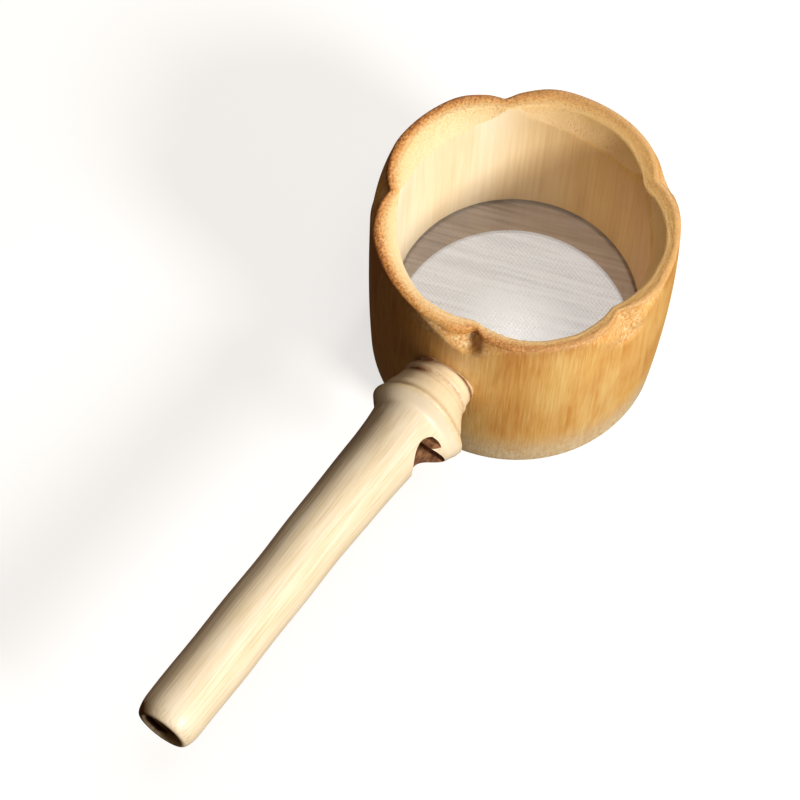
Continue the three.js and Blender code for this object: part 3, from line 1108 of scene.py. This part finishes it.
@dataclass
class Handle:
    """The hollow branch with its tenon, collar, node, bud, hang hole and rounded end."""

    cup: Cup
    offset: float = 1.35
    entry_height: float = 28.5
    rise: float = 4.0
    length: float = 120.5
    collar_radius: float = 6.7
    ridge: float = 39.5
    ridge_height: float = 1.75
    ridge_fall: float = 2.8
    internode_radius: float = 5.95
    neck_swell: float = 1.25
    neck_length: float = 14.0
    tenon_radius: float = 5.4
    pith_radius: float = 3.9
    pith_start: float = 42.0
    end_round: float = 4.0
    end_radius: float = 4.75
    end_lean: float = 0.1
    bud_height: float = 3.4
    bud_middle: float = 41.6
    bud_near: float = 5.8
    bud_far: float = 3.1
    bud_angle: float = -22.0
    bud_spread: float = 34.0
    hole_radius: float = 4.55
    hole_worn: float = 0.25
    hole_distance: float = 46.0
    hole_angle: float = -6.0
    tongue_low: float = 226.0
    tongue_high: float = 121.0
    tongue_root: tuple[float, float] = (-2.75, 1.75)
    tongue_tip: tuple[float, float] = (-1.1, 2.25)
    growth_line: float = 33.3
    ridge_ripples: tuple[Ripple, ...] = (Ripple(0.3, -0.4, 0.55), Ripple(-0.2, -1.8, 0.8))
    line_ripples: tuple[Ripple, ...] = (Ripple(0.22, -0.55, 0.45), Ripple(-0.3, 0.15, 0.35))
    bows: tuple[Ripple, ...] = (Ripple(0.33, 50, 8), Ripple(-0.06, 70, 9))
    left_angle: float = 164.0
    left_lag: float = 1.5
    full_rings: float = 33.0
    coarse_from: float = 48.0
    wall_gap: float = 0.12
    columns: int = 168

    def axis_base(self) -> float:
        """Gives the height at which the branch's axis would cross the cup's."""
        return self.entry_height - self.cup.belt_radius * math.tan(math.radians(self.rise))

    def around(self) -> np.ndarray:
        """Gives the angles of the mesh's columns, from the right side up, in degrees."""
        return np.arange(self.columns) * 360.0 / self.columns

    def place_points(self, along: np.ndarray, radius: np.ndarray, angles: np.ndarray) -> np.ndarray:
        """Turns distance, radius and angle on the branch into points in the part's frame."""
        tilt = math.radians(self.rise)
        side = radius * np.cos(np.radians(angles)) + self.drift(along)
        up = radius * np.sin(np.radians(angles))
        along = along + self.end_lean * up * ease(along, self.length - 9.0, self.length - 1.0)
        base = self.axis_base()
        x = self.cup.axis_x + along * math.cos(tilt) - up * math.sin(tilt)
        z = base + along * math.sin(tilt) + up * math.cos(tilt)
        return np.stack([x, self.offset + side, z], axis=-1)

    def drift(self, along: np.ndarray) -> np.ndarray:
        """Gives the sideways wander of the branch's natural axis."""
        return sum(bow.rise(along) for bow in self.bows)

    def leftward(self, angles: np.ndarray) -> np.ndarray:
        """Gives how much each angle faces the left side, where the node slants away from the cup."""
        return np.maximum(0.0, np.cos(np.radians(angles - self.left_angle))) ** 2

    def radius(self, along: np.ndarray, angles: np.ndarray) -> np.ndarray:
        """Gives the branch's outer radius at a distance from the cup's axis and an angle."""
        left = self.leftward(angles)
        ridge = self.ridge + self.left_lag * left
        past = along - ridge
        reach = ridge - self.cup.belt_radius
        rising = self.collar_radius + self.ridge_height * np.clip(1 + past / reach, 0, 1) ** 2
        neck = self.internode_radius + self.neck_swell * np.exp(-np.maximum(past, 0) / self.neck_length)
        step = self.collar_radius + self.ridge_height - self.internode_radius - self.neck_swell
        fall = 1 - ease(past, 0.0, self.ridge_fall)
        outside = np.where(past < 0, rising, neck + step * fall)
        outside = outside + sum(ripple.rise(past) for ripple in self.ridge_ripples)
        outside = outside + 0.45 * left * bump(along, 38.8, 2.6)
        outside = outside + sum(ripple.rise(along - self.growth_line) for ripple in self.line_ripples)
        turn = turn_between(angles, self.bud_angle)
        reach = np.where(along < self.bud_middle, self.bud_near, self.bud_far)
        swell = np.exp(-np.abs((along - self.bud_middle) / reach) ** 2.4)
        outside = outside - 0.35 * bump(turn, 8.0, 40) * bump(past, 0.0, 1.6)
        outside = outside + self.bud_height * bump(turn, 0.0, self.bud_spread) * swell
        return outside + 0.05 * np.sin(along / 3.1 + np.radians(angles)) + 0.04 * np.sin(along / 7.3)

    def end_radius_at(self, along: float, body: np.ndarray) -> np.ndarray:
        """Gives the radius on the rounded far end."""
        share = np.clip((along - (self.length - self.end_round)) / self.end_round, 0, 1)
        return self.end_radius + (body - self.end_radius) * np.sqrt(1 - share**2)

    def wall_distance(self, radius: float, surface: Callable[[np.ndarray], np.ndarray]) -> np.ndarray:
        """Finds where a rod of a radius round the handle's axis meets a round surface of the cup.

        Args:
            radius: The rod's radius.
            surface: Gives that surface's radius from the cup's axis at an array of heights.

        Returns:
            For each column, the distance along the handle.
        """
        angles = np.radians(self.around())
        tilt = math.radians(self.rise)
        base = self.axis_base()
        along = np.full(self.columns, self.cup.belt_radius)
        side = self.offset + radius * np.cos(angles)
        up = radius * np.sin(angles)
        for _ in range(6):
            heights = base + along * math.sin(tilt) + up * math.cos(tilt)
            x = np.sqrt(surface(heights) ** 2 - side**2)
            along = (x + up * math.sin(tilt)) / math.cos(tilt)
        return along

    def build(self) -> bpy.types.Object:
        """Makes the branch, before its hang hole is cut."""
        angles = self.around()
        names = ("ridge", "growth", "burnt", "collar", "patch", "shoulder", "painted_left_shade")
        skin = Skin(plain=dict.fromkeys(names, 0.0))
        bore = lambda heights: np.full_like(heights, self.cup.bore_radius + 0.15)
        wall = lambda heights: self.cup.wall(heights) + self.wall_gap
        inner = self.wall_distance(self.tenon_radius, bore)
        outer = self.wall_distance(self.tenon_radius, wall)
        peeled = BranchZone.SKIN.value
        for share in (0.12, 0.5, 0.93):
            ring = self.tenon_radius * share
            skin.add(self.place_points(self.wall_distance(ring, bore), ring, angles), peeled)
        for share in (0.06, 0.5, 1.0):
            along = inner + (outer - inner) * share
            skin.add(self.place_points(along, self.tenon_radius, angles), peeled)
        root = self.wall_distance(self.collar_radius, wall)
        skin.add(self.place_points(root, self.collar_radius - 0.35, angles), peeled, growth=0.6)
        start = root + 0.15
        for share in np.linspace(0, 1, 14) ** 1.3:
            along = start + (self.full_rings - start) * share
            radius = self.radius(along, angles) - 0.3 * (1 - ease(along - root, 0.0, 0.8))
            self.add_row(skin, along, radius, angles)
        near = np.arange(self.full_rings + 0.25, self.coarse_from, 0.25)
        far = np.arange(self.coarse_from, self.length - self.end_round, 1.0)
        tip = self.length - self.end_round * (1 - np.sin(np.linspace(0, 1, 12) * math.pi / 2) ** 0.9)
        for along in np.concatenate([near, far, tip]):
            radius = self.end_radius_at(along, self.radius(along, angles))
            self.add_row(skin, np.full(self.columns, along), radius, angles)
        self.add_hollow(skin, angles)
        return skin.to_object("bamboo_handle", ring=False)

    def add_row(self, skin: Skin, along: np.ndarray, radius: np.ndarray, angles: np.ndarray) -> None:
        """Adds one row of the branch's outside with the marks that colour it."""
        left = self.leftward(angles)
        past = along - (self.ridge + self.left_lag * left)
        top = turn_between(angles, 130.0)
        line = along - self.growth_line
        scorch = bump(turn_between(angles, 176.0), 0, 44)
        marks = {
            "ridge": 0.75 * bump(past, -0.2, 0.7) * (0.6 + 0.4 * left),
            "growth": 0.8 * bump(line, 0.0, 0.3) + 0.4 * bump(line, 1.3, 0.25),
            "collar": 1 - ease(past, -1.0, 0.4),
            "patch": np.clip(
                1.6 * bump(along, 30.6, 1.7) * bump(top, 0, 36)
                + 1.3 * bump(along, 34.0, 0.8) * bump(top, -8, 22)
                + 1.2 * bump(along, 30.2, 0.45),
                0,
                1,
            ),
            "shoulder": bump(past, 1.6, 1.7),
            # Painted shade down the left side, away from the key light.
            "painted_left_shade": 0.95 * bump(turn_between(angles, 172.0), 0, 42) * ease(past, 0.0, 4.0),
            "burnt": 0.9 * ease(along, self.length - 3.4, self.length - 0.6) * scorch,
        }
        skin.add(self.place_points(along, radius, angles), BranchZone.SKIN.value, **marks)

    def add_hollow(self, skin: Skin, angles: np.ndarray) -> None:
        """Adds the lip at the far end and the hollow back to the diaphragm."""
        lip = self.end_radius - self.pith_radius
        far_side = bump(turn_between(angles, 172.0), 0, 66)
        low_side = bump(turn_between(angles, 225.0), 0, 45)
        for share in (0.25, 0.5, 0.75, 1.0):
            radius = self.end_radius - lip * share
            rounded = self.length + 0.1 * math.sin(math.pi * share) - 0.35 * share**3
            along = np.full(self.columns, rounded)
            burnt = np.maximum(0.9 * far_side * (1 - share), 0.25)
            skin.add(self.place_points(along, radius, angles), BranchZone.SKIN.value, burnt=burnt)
        mouth = np.linspace(self.length - 1.5, 52, 24)
        by_hole = np.linspace(51, self.pith_start + 1, 16)
        for along in np.concatenate([mouth, by_hole]):
            radius = self.pith_radius + 0.08 * np.sin(along / 2.3 + np.radians(2 * angles))
            points = self.place_points(np.full(self.columns, along), radius, angles)
            # In the hollow the mark that tells burnt skin outside carries painted light just inside the
            # mouth.
            painted_mouth_light = ease(along, self.length - 7.0, self.length - 2.0) * low_side
            skin.add(points, BranchZone.PITH.value, burnt=painted_mouth_light)
        for share in (0.75, 0.35):
            along = np.full(self.columns, self.pith_start + 0.4 * share)
            points = self.place_points(along, self.pith_radius * share, angles)
            skin.add(points, BranchZone.PITH.value)

    def hole_outline(self) -> np.ndarray:
        """Gives the hang hole's outline: a circle with a tongue of wood left standing in it.

        Returns:
            Points along and across the branch, from the hole's middle.
        """
        first, last = math.radians(self.tongue_low), math.radians(self.tongue_high) + 2 * math.pi
        turns = np.linspace(first, last, 64)
        radius = self.hole_radius + self.hole_worn * np.sin(turns)
        arc = np.stack([radius * np.cos(turns), radius * np.sin(turns)], axis=-1)
        root, tip = np.array(self.tongue_root), np.array(self.tongue_tip)
        steps = np.linspace(0, 1, 8)[1:-1, None]
        side = arc[-1] + (root - arc[-1]) * steps + np.array([-0.25, 0.0]) * np.sin(np.pi * steps)
        upper = root + (tip - root) * steps + np.array([0.0, -0.15]) * np.sin(np.pi * steps)
        lower = tip + (arc[0] - tip) * steps + np.array([-0.35, 0.0]) * np.sin(np.pi * steps)
        return np.concatenate([arc, side, root[None], upper, tip[None], lower])

    def hole_cutter(self) -> bpy.types.Object:
        """Makes the cutter of the hang hole, wider at its mouth where the edge is worn."""
        outline = self.hole_outline()
        cutter = Skin()
        tilt = math.radians(self.hole_angle)
        for depth, swell in ((0.3, 0.97), (4.0, 1.0), (6.0, 1.0), (9.0, 1.05), (16.0, 1.15)):
            along = self.hole_distance + outline[:, 0] * swell
            lift = outline[:, 1] * swell
            side = depth * math.cos(tilt) - lift * math.sin(tilt)
            up = depth * math.sin(tilt) + lift * math.cos(tilt)
            angle = np.degrees(np.arctan2(up, side))
            points = self.place_points(along, np.hypot(side, up), angle)
            cutter.add(points, BranchZone.PITH.value)
        return cutter.to_object("hole_cutter", ring=False, flat_ends=True)

    def socket_cutter(self) -> bpy.types.Object:
        """Makes the round cutter of the socket in the cup's wall."""
        angles = self.around()
        cutter = Skin()
        for along in (20.0, 26.0, 33.0):
            where = np.full(self.columns, along)
            cutter.add(self.place_points(where, self.tenon_radius + 0.1, angles), CupZone.BORE.value)
        return cutter.to_object("socket_cutter", ring=False)

    def dress(self, branch: bpy.types.Object) -> None:
        """Gives the branch its finishes, in the order of its zones."""
        place = Place(self.cup.axis_x, self.rise)
        for finish in (BranchSkin(place), Pith(place)):
            branch.data.materials.append(finish.build())


# ---- the mesh and its ring -------------------------------------------------------------------


class WireRun(Enum):
    """The two directions of the weave."""

    WARP = 0
    WEFT = 1


@dataclass
class WovenMesh:
    """Plain-woven wire mesh, cut round.

    The real weave is too fine to see wire by wire, so its pitch is a guess. It is drawn as fine as
    the limit on a piece's triangles allows, with three-sided wires, and may be coarser than it is.
    """

    axis_x: float
    height: float
    radius: float
    pitch: float = 0.26
    wire: float = 0.052
    sides: int = 3
    turn: float = 19.0

    def tree(self) -> bpy.types.GeometryNodeTree:
        """Builds the node tree of one run of crimped wires.

        Returns:
            The tree. Its inputs are the radius, the pitch, the wire's radius, which also sets how far
            the wires wave, the phase of the first wire, the number of columns and the material.
        """
        tree = bpy.data.node_groups.new("crimped_wires", "GeometryNodeTree")
        sockets = tree.interface
        for name, kind in (
            ("Radius", "NodeSocketFloat"),
            ("Pitch", "NodeSocketFloat"),
            ("Wire", "NodeSocketFloat"),
            ("Phase", "NodeSocketFloat"),
            ("Columns", "NodeSocketInt"),
            ("Finish", "NodeSocketMaterial"),
        ):
            sockets.new_socket(name, in_out="INPUT", socket_type=kind)
        sockets.new_socket("Geometry", in_out="OUTPUT", socket_type="NodeSocketGeometry")
        given = add(tree, "NodeGroupInput").outputs
        gaps = math_of(tree, "SUBTRACT", given["Columns"], 1.0)
        width = math_of(tree, "MULTIPLY", gaps, given["Pitch"])
        grid = add(
            tree,
            "GeometryNodeMeshGrid",
            None,
            {
                "Size X": width,
                "Size Y": width,
                "Vertices X": given["Columns"],
                "Vertices Y": given["Columns"],
            },
        )
        ends = add(tree, "GeometryNodeInputMeshEdgeVertices").outputs
        both = {0: ends["Position 1"], 1: ends["Position 2"]}
        gap = add(tree, "ShaderNodeVectorMath", {"operation": "SUBTRACT"}, both)
        across = add(tree, "ShaderNodeSeparateXYZ", None, {0: gap.outputs[0]})
        crossing = math_of(tree, "GREATER_THAN", math_of(tree, "ABSOLUTE", across.outputs["X"]), 1e-6)
        lines = add(
            tree,
            "GeometryNodeDeleteGeometry",
            {"domain": "EDGE", "mode": "EDGE_FACE"},
            {"Geometry": grid.outputs["Mesh"], "Selection": crossing},
        )
        place = add(tree, "GeometryNodeInputPosition").outputs[0]
        far = add(tree, "ShaderNodeVectorMath", {"operation": "LENGTH"}, {0: place})
        outside = math_of(tree, "GREATER_THAN", far.outputs["Value"], given["Radius"])
        disc = add(
            tree,
            "GeometryNodeDeleteGeometry",
            {"domain": "POINT", "mode": "ALL"},
            {"Geometry": lines.outputs[0], "Selection": outside},
        )
        wires = add(tree, "GeometryNodeMeshToCurve", None, {"Mesh": disc.outputs[0]})
        xyz = add(tree, "ShaderNodeSeparateXYZ", None, {0: place})
        column = math_of(tree, "ROUND", math_of(tree, "DIVIDE", xyz.outputs["X"], given["Pitch"]))
        row = math_of(tree, "DIVIDE", xyz.outputs["Y"], given["Pitch"])
        step = math_of(tree, "ADD", math_of(tree, "ADD", column, row), given["Phase"])
        angle = math_of(tree, "MULTIPLY", step, math.pi)
        wave = math_of(tree, "MULTIPLY", math_of(tree, "COSINE", angle), given["Wire"])
        lift = add(tree, "ShaderNodeCombineXYZ", None, {"Z": wave})
        moved = {"Geometry": wires.outputs[0], "Offset": lift.outputs[0]}
        crimped = add(tree, "GeometryNodeSetPosition", None, moved)
        profile = add(
            tree,
            "GeometryNodeCurvePrimitiveCircle",
            {"mode": "RADIUS"},
            {"Resolution": self.sides, "Radius": given["Wire"]},
        )
        swept = add(
            tree,
            "GeometryNodeCurveToMesh",
            None,
            {"Curve": crimped.outputs[0], "Profile Curve": profile.outputs[0], "Fill Caps": True},
        )
        real = add(tree, "GeometryNodeRealizeInstances", None, {0: swept.outputs[0]})
        dressed = {"Geometry": real.outputs[0], "Material": given["Finish"]}
        coated = add(tree, "GeometryNodeSetMaterial", None, dressed)
        add(tree, "NodeGroupOutput", None, {"Geometry": coated.outputs[0]})
        return tree

    def build(
        self, run: WireRun, finish: bpy.types.Material, tree: bpy.types.GeometryNodeTree
    ) -> bpy.types.Object:
        """Makes one run of wires.

        Args:
            run: Warp or weft, which lie square to each other.
            finish: The wire's material.
            tree: The node tree of a run.

        Returns:
            The plain mesh object.
        """
        source = link_object(f"mesh_{run.name.lower()}_wires", bpy.data.meshes.new("wires"))
        modifier = source.modifiers.new("wires", "NODES")
        modifier.node_group = tree
        columns = 2 * int(self.radius / self.pitch) + 1
        values = {
            "Radius": self.radius * MM,
            "Pitch": self.pitch * MM,
            "Wire": self.wire * MM,
            "Phase": float(run.value),
            "Columns": columns,
            "Finish": finish,
        }
        for item in tree.interface.items_tree:
            if item.item_type == "SOCKET" and item.in_out == "INPUT":
                modifier[item.identifier] = values[item.name]
        wires = baked(source, crease=180.0)
        turn = Matrix.Rotation(math.radians(self.turn + 90.0 * run.value), 4, "Z")
        shift = Matrix.Translation(Vector((self.axis_x, 0.0, self.height)) * MM)
        wires.data.transform(shift @ turn)
        wires.data.update()
        return wires


@dataclass
class RetainingRing:
    """The bamboo ring that holds the mesh against its shoulder."""

    axis_x: float
    bottom: float
    top: float
    outer: float
    inner: float
    edge: float = 0.35
    columns: int = 240

    def build(self) -> bpy.types.Object:
        """Makes the ring with rounded edges."""
        skin = Skin()
        turns = np.radians(np.arange(self.columns) * 360.0 / self.columns)
        bends = [
            (self.inner, self.bottom, 1, 1),
            (self.outer, self.bottom, -1, 1),
            (self.outer, self.top, -1, -1),
            (self.inner, self.top, 1, -1),
        ]
        profile = []
        for i, (radius, height, into_r, into_z) in enumerate(bends):
            for share in np.linspace(0, 1, 5):
                a, b = (1 - share) ** 2, share**2
                low, high = (a, b) if i % 2 else (b, a)
                profile.append((radius + into_r * self.edge * low, height + into_z * self.edge * high))
        profile = self.with_steps(profile)
        for radius, height in profile:
            # The whole ring takes the painted shade colours.
            skin.add(circle(self.axis_x, radius, turns, height), 0, painted_shade=1.0)
        return skin.to_object("mesh_retaining_ring", ring=True)

    @staticmethod
    def with_steps(profile: list[tuple[float, float]]) -> list[tuple[float, float]]:
        """Adds points on the long straight sides of the profile."""
        out: list[tuple[float, float]] = []
        for (r0, z0), (r1, z1) in zip(profile, profile[1:] + profile[:1]):
            steps = max(1, int(math.hypot(r1 - r0, z1 - z0) / 1.5))
            out += [(r0 + (r1 - r0) * k / steps, z0 + (z1 - z0) * k / steps) for k in range(steps)]
        return out


# ---- the studio ------------------------------------------------------------------------------


@dataclass(frozen=True)
class Studio:
    """Floor, lights and camera. Lengths here are metres, angles are degrees round the part's +Z."""

    aim: tuple[float, float, float] = (-0.00893, -0.00394, 0.024)
    azimuth: float = 30.78
    elevation: float = 62.6
    roll: float = 3.9
    distance: float = 0.5773
    lens: float = 135.0
    key_azimuth: float = 84.0
    key_elevation: float = 34.0
    key_distance: float = 0.9
    key_size: float = 0.26
    key_watts: float = 10.2
    back_azimuth: float = 186.0
    back_elevation: float = 20.0
    back_watts: float = 3.8
    top_azimuth: float = 60.0
    top_elevation: float = 78.0
    top_distance: float = 0.8
    top_size: float = 0.3
    top_watts: float = 1.3
    fill_strength: float = 0.055
    backdrop_strength: float = 0.86
    floor_size: float = 2.4
    window_height: float = -0.05
    window_sides: int = 96
    backdrop: str = "#fffaf2"
    fill: str = "#ffc792"

    @staticmethod
    def towards(azimuth: float, elevation: float) -> Vector:
        """Gives the unit vector at an azimuth and elevation in degrees."""
        a, e = math.radians(azimuth), math.radians(elevation)
        return Vector((math.cos(e) * math.cos(a), math.cos(e) * math.sin(a), math.sin(e)))

    def set_camera(self) -> None:
        """Makes the camera at the viewing angle."""
        data = bpy.data.cameras.new("camera")
        data.lens = self.lens
        data.sensor_width = 36.0
        data.clip_start = 0.01
        camera = link_object("camera", data)
        direction = self.towards(self.azimuth, self.elevation)
        turned = direction.to_track_quat("Z", "Y").to_matrix().to_4x4()
        lean = Matrix.Rotation(math.radians(self.roll), 4, "Z")
        spot = Vector(self.aim) + direction * self.distance
        camera.matrix_world = Matrix.Translation(spot) @ turned @ lean
        bpy.context.scene.camera = camera

    def set_lights(self) -> None:
        """Makes the soft key light, the weaker top and back lights, and the pale surroundings."""
        key = self.towards(self.key_azimuth, self.key_elevation)
        top = self.towards(self.top_azimuth, self.top_elevation)
        self.hang_light("key", key * self.key_distance, self.key_size, self.key_watts)
        self.hang_light("top", top * self.top_distance, self.top_size, self.top_watts)
        back = self.towards(self.back_azimuth, self.back_elevation)
        self.hang_light("back", back * self.key_distance, self.key_size, self.back_watts)
        world = bpy.data.worlds.new("studio")
        world.use_nodes = True
        tree = world.node_tree
        background = tree.nodes["Background"]
        # The backdrop looks pale, but the part gets only a dim warm light from it.
        seen = add(tree, "ShaderNodeLightPath").outputs["Is Camera Ray"]
        colour = blend_colours(tree, seen, self.fill, self.backdrop)
        tree.links.new(colour, background.inputs["Color"])
        more = self.backdrop_strength - self.fill_strength
        strength = math_of(tree, "MULTIPLY_ADD", seen, more, self.fill_strength)
        tree.links.new(strength, background.inputs["Strength"])
        bpy.context.scene.world = world
        bpy.context.scene.view_settings.view_transform = "Standard"

    @staticmethod
    def hang_light(name: str, offset: Vector, size: float, watts: float) -> None:
        """Hangs a round soft light.

        Args:
            name: The light's name.
            offset: Where it hangs, from the part's middle that it shines at.
            size: Its diameter.
            watts: Its power.
        """
        data = bpy.data.lights.new(name, "AREA")
        data.shape = "DISK"
        data.size = size
        data.energy = watts
        light = link_object(f"{name}_light", data)
        turned = offset.to_track_quat("Z", "Y").to_matrix().to_4x4()
        light.matrix_world = Matrix.Translation(Vector((-0.02, 0.0, 0.02)) + offset) @ turned

    def lay_floor(self) -> None:
        """Lays the pale paper that the strainer stands on. It throws no light back at it."""
        half = self.floor_size / 2
        mesh = bpy.data.meshes.new("floor")
        corners = [(-half, -half, 0), (half, -half, 0), (half, half, 0), (-half, half, 0)]
        mesh.from_pydata([(x, y, -0.0001) for x, y, _ in corners], [], [(0, 1, 2, 3)])
        floor = link_object("floor", mesh)
        mesh.materials.append(StudioPaper().build())
        floor.visible_diffuse = False
        floor.visible_glossy = False

    def set_window(self, axis_x: float, radius: float) -> None:
        """Sets a bright round window in the light table under the mesh.

        Args:
            axis_x: Place of the cup's axis in millimetres.
            radius: Radius of the window in millimetres.
        """
        turns = np.linspace(0, 2 * np.pi, self.window_sides, endpoint=False)
        points = circle(axis_x, radius, turns, self.window_height)
        mesh = bpy.data.meshes.new("window")
        mesh.from_pydata((points * MM).tolist(), [], [list(range(self.window_sides))])
        mesh.materials.append(LitPaper(axis_x=axis_x, reach=radius).build())
        link_object("window", mesh)


# ---- assembly --------------------------------------------------------------------------------


def settle(piece: bpy.types.Object, node: str | None) -> None:
    """Ties a finished piece to the frame.

    Args:
        piece: The finished piece.
        node: The CAD node that it stands for, if any.
    """
    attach(piece, "root")
    if node:
        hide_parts(node)
    LOG.info("%s: %d faces", piece.name, len(piece.data.polygons))


def corners(box: tuple[Vector, Vector]) -> list[list[float]]:
    """Turns a box into plain lists of numbers."""
    return [list(map(float, corner)) for corner in box]


def main() -> None:
    """Builds the strainer, its studio and its camera."""
    logging.basicConfig(level=logging.INFO, format="%(message)s")
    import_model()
    studio = Studio()
    studio.set_camera()
    studio.set_lights()
    studio.lay_floor()

    disc_low, disc_high = (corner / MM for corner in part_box("strainer_mesh"))
    ring_low, ring_high = (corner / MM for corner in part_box("retaining_ring"))
    cup_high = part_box("cup")[1] / MM
    axis_x = (disc_low.x + disc_high.x) / 2

    cup = Cup(axis_x, height=cup_high.z, belt_radius=cup_high.y - 0.1)
    handle = Handle(cup)
    cup_piece = cup.build()
    cup.dress(cup_piece, Place(axis_x))
    cup_piece = cut_away(cup_piece, handle.socket_cutter())
    settle(cup_piece, "cup")

    branch = handle.build()
    handle.dress(branch)
    branch = cut_away(branch, handle.hole_cutter())
    settle(branch, "handle")

    middle = (disc_low.z + disc_high.z) / 2
    weave = WovenMesh(axis_x, middle, radius=(disc_high.x - disc_low.x) / 2)
    wire = WireSteel(Place(axis_x, turn=weave.turn + 90.0)).build()
    tree = weave.tree()
    settle(weave.build(WireRun.WARP, wire, tree), "strainer_mesh")
    settle(weave.build(WireRun.WEFT, wire, tree), "strainer_mesh")

    outer = (ring_high.x - ring_low.x) / 2
    studio.set_window(axis_x, outer - 1.8)
    ring = RetainingRing(axis_x, ring_low.z, ring_high.z, outer, outer - 1.7)
    ring_piece = ring.build()
    # Painted shade: the ring gets darker browns that stand in for the dim band seen through the mesh.
    ring_shade = {"name": "shade_darkened_bamboo_ring", "painted_shade_pale": "#bd8f54", "painted_shade_deep": "#99703c"}
    brown = BoreWall(Place(axis_x), **ring_shade)
    ring_piece.data.materials.append(brown.build())
    settle(ring_piece, "retaining_ring")


if __name__ == "__main__":
    main()
